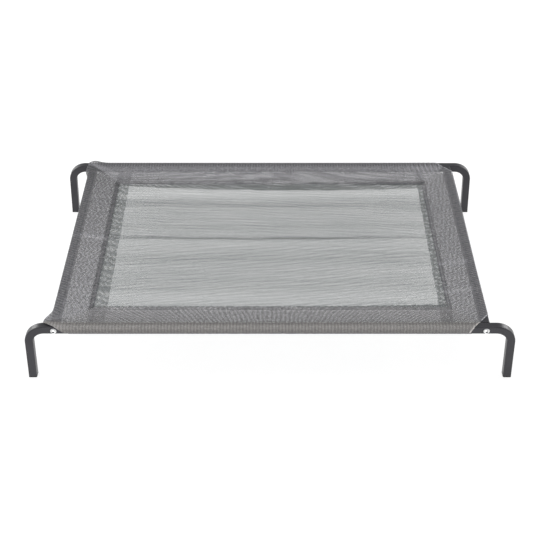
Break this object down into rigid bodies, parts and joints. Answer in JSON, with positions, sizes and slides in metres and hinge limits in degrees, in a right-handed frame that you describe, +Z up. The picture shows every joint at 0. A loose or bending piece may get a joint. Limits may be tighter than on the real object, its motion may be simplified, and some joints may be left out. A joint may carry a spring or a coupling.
{
  "type": "raised dog cot",
  "caption": "Raised dog cot: bent square-tube rails and legs bolted at the corners carry a taut see-through mesh deck in sewn sleeves.",
  "frame": {"origin": "on the floor at the middle of the cot, under the centre of the deck", "axes": "+X along the length to the right, +Y to the rear, +Z up from the floor"},
  "size_m": [1.3, 0.8112, 0.1788],
  "materials": {
    "frame_coat": "dark charcoal powder coat, satin",
    "plated_steel": "bright zinc plate",
    "cap_plastic": "moulded black, fine matt grain",
    "mesh_cloth": "open plain weave of coated grey yarn, see-through",
    "sleeve_cloth": "the same coated mesh, folded double"
  },
  "bodies": {
    "root": {"front_left_leg_rail": "frame_coat", "front_right_leg_rail": "frame_coat", "rear_left_leg_rail": "frame_coat", "rear_right_leg_rail": "frame_coat", "front_rail_spigot": "frame_coat", "rear_rail_spigot": "frame_coat", "left_side_rail": "frame_coat", "right_side_rail": "frame_coat", "front_left_nut_plug": "plated_steel", "front_right_nut_plug": "plated_steel", "rear_left_nut_plug": "plated_steel", "rear_right_nut_plug": "plated_steel", "corner_bolts": "plated_steel", "corner_washers": "plated_steel", "front_left_foot_cap": "cap_plastic", "front_right_foot_cap": "cap_plastic", "rear_left_foot_cap": "cap_plastic", "rear_right_foot_cap": "cap_plastic", "mesh_panel": "mesh_cloth", "front_sleeve": "sleeve_cloth", "rear_sleeve": "sleeve_cloth", "left_sleeve": "sleeve_cloth", "right_sleeve": "sleeve_cloth"}
  },
  "joints": []
}
